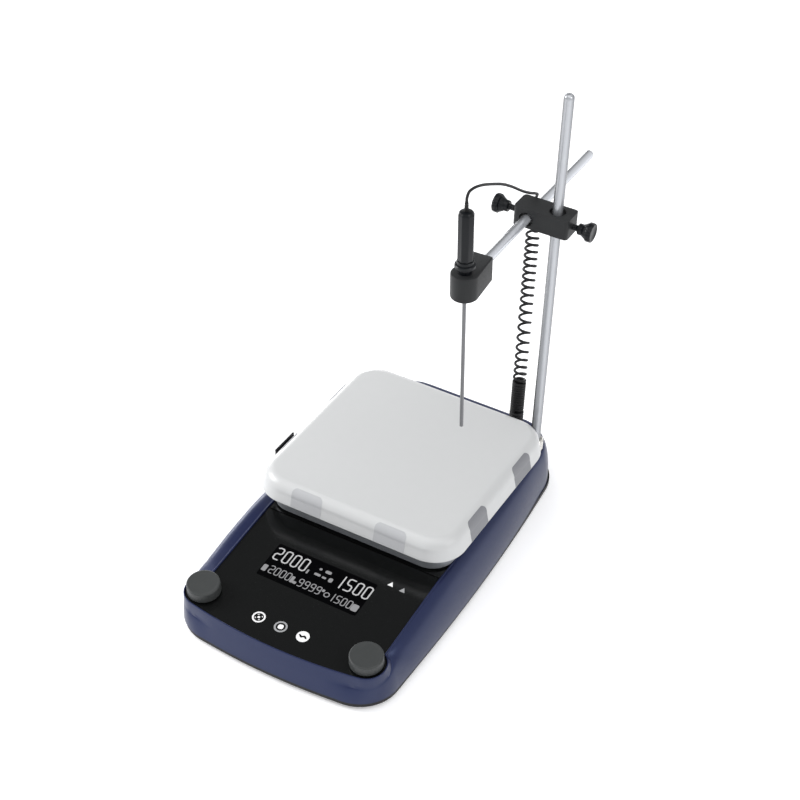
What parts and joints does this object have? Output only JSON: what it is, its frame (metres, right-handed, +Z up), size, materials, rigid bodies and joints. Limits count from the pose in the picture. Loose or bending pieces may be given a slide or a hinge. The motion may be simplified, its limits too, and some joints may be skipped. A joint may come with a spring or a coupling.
{
  "type": "magnetic stirrer",
  "caption": "Hotplate magnetic stirrer with a square plate, sloped control panel, support rod, clamped cross arm and temperature probe on a curly cord.",
  "frame": {"origin": "on the stirring axis, at the height of the surface that the feet stand on", "axes": "+X right, +Y back from the control panel to the rod's side, +Z up"},
  "size_m": [0.2014, 0.4171, 0.384],
  "materials": {
    "housing_paint": "blue-grey satin paint",
    "cover_plastic": "matt moulded black",
    "foot_rubber": "matt dark rubber",
    "panel_black": "glossy black sheet",
    "display_glass": "glossy near-black window",
    "knob_plastic": "satin grey-black",
    "plate_enamel": "matt white ceramic coat",
    "insert_grey": "matt mid grey",
    "tray_steel": "satin light grey metal",
    "steel": "polished stainless",
    "clamp_black": "satin black anodised",
    "grip_black": "satin black moulded",
    "cord_black": "satin black rubber",
    "board_green": "green circuit board",
    "copper": "copper wire",
    "iron": "dark laminated iron",
    "screw_steel": "bright zinc plate",
    "insulation_white": "white fibre board"
  },
  "bodies": {
    "base": {"upper_housing": "housing_paint", "bottom_cover": "cover_plastic", "rubber_feet": "foot_rubber", "cover_screws": "screw_steel", "control_panel": "panel_black", "rear_deck": "panel_black", "display_window": "display_glass", "display_module": "iron", "main_board": "board_green", "button_switches": "iron", "power_board": "board_green", "transformer": "copper", "left_encoder": "iron", "right_encoder": "iron", "plate_tray": "tray_steel", "insulation_disc": "insulation_white", "heating_element": "copper", "plate_standoffs": "steel", "top_plate": "plate_enamel", "plate_inserts": "insert_grey", "plate_clip": "grip_black", "motor_bracket": "steel", "motor_stator": "iron", "fan_frame": "cover_plastic", "power_inlet": "cover_plastic", "switch_frame": "cover_plastic", "rod_socket": "steel", "probe_socket": "screw_steel", "cable_coil": "cord_black", "coil_plug": "grip_black"},
    "left_dial": {"left_knob": "knob_plastic"},
    "right_dial": {"right_knob": "knob_plastic"},
    "left_key": {"left_button": "panel_black"},
    "middle_key": {"middle_button": "panel_black"},
    "right_key": {"right_button": "panel_black"},
    "stir_drive": {"motor_shaft": "steel", "magnet_holder": "tray_steel", "drive_magnets": "screw_steel"},
    "fan_wheel": {"fan_rotor": "grip_black"},
    "fuse_tray": {"fuse_drawer": "grip_black"},
    "rocker": {"power_rocker": "grip_black"},
    "mast": {"support_rod": "steel"},
    "clamp": {"clamp_block": "clamp_black"},
    "rod_screw": {"rod_thumbscrew": "grip_black"},
    "arm_screw": {"arm_thumbscrew": "grip_black"},
    "arm": {"cross_rod": "steel", "arm_end_cap": "grip_black"},
    "holder": {"probe_holder": "clamp_black", "holder_screw": "screw_steel"},
    "probe": {"probe_handle": "grip_black", "probe_collar": "grip_black", "probe_needle": "steel", "cable_gland": "cord_black", "probe_cable": "cord_black"}
  },
  "joints": [
    {"name": "left_dial_turn", "type": "hinge", "parent": "base", "child": "left_dial", "pos_m": [-0.0737, -0.1835, 0.03376], "axis": [0, -0.1045, 0.9945], "continuous": true},
    {"name": "right_dial_turn", "type": "hinge", "parent": "base", "child": "right_dial", "pos_m": [0.0737, -0.1835, 0.03376], "axis": [0, -0.1045, 0.9945], "continuous": true},
    {"name": "left_key_press", "type": "slide", "parent": "base", "child": "left_key", "axis": [0, -0.1045, 0.9945], "range_m": [-0.0006, 0], "stiffness_N_per_m": 800, "springref_m": 0.0012},
    {"name": "middle_key_press", "type": "slide", "parent": "base", "child": "middle_key", "axis": [0, -0.1045, 0.9945], "range_m": [-0.0006, 0], "stiffness_N_per_m": 800, "springref_m": 0.0012},
    {"name": "right_key_press", "type": "slide", "parent": "base", "child": "right_key", "axis": [0, -0.1045, 0.9945], "range_m": [-0.0006, 0], "stiffness_N_per_m": 800, "springref_m": 0.0012},
    {"name": "stir_spin", "type": "hinge", "parent": "base", "child": "stir_drive", "pos_m": [0, 0, 0.05], "axis": [0, 0, 1], "continuous": true},
    {"name": "fan_spin", "type": "hinge", "parent": "base", "child": "fan_wheel", "pos_m": [-0.045, 0.07, 0.012], "axis": [0, 0, 1], "continuous": true},
    {"name": "fuse_pull", "type": "slide", "parent": "base", "child": "fuse_tray", "axis": [0, 1, 0], "range_m": [0, 0.011]},
    {"name": "rocker_tilt", "type": "hinge", "parent": "base", "child": "rocker", "pos_m": [0.022, 0.1265, 0.025], "axis": [1, 0, 0], "range_deg": [0, 16]},
    {"name": "mast_turn", "type": "hinge", "parent": "base", "child": "mast", "pos_m": [0.073, 0.1, 0.05], "axis": [0, 0, 1], "range_deg": [-35, 35]},
    {"name": "clamp_lift", "type": "slide", "parent": "mast", "child": "clamp", "axis": [0, 0, 1], "range_m": [-0.04, 0.09], "deforming": ["cable_coil"]},
    {"name": "rod_screw_turn", "type": "hinge", "parent": "clamp", "child": "rod_screw", "pos_m": [0.09, 0.1, 0.272], "axis": [1, 0, 0], "continuous": true},
    {"name": "arm_screw_turn", "type": "hinge", "parent": "clamp", "child": "arm_screw", "pos_m": [0.03, 0.1, 0.272], "axis": [-1, 0, 0], "continuous": true},
    {"name": "arm_slide", "type": "slide", "parent": "clamp", "child": "arm", "axis": [0, 1, 0], "range_m": [-0.015, 0.045]},
    {"name": "holder_tilt", "type": "hinge", "parent": "arm", "child": "holder", "pos_m": [0.051, 0.012, 0.272], "axis": [0, 1, 0], "range_deg": [-15, 15]},
    {"name": "probe_lift", "type": "slide", "parent": "holder", "child": "probe", "axis": [-0.0366, 0, 0.9993], "range_m": [-0.0025, 0.018], "deforming": ["probe_cable"]}
  ]
}
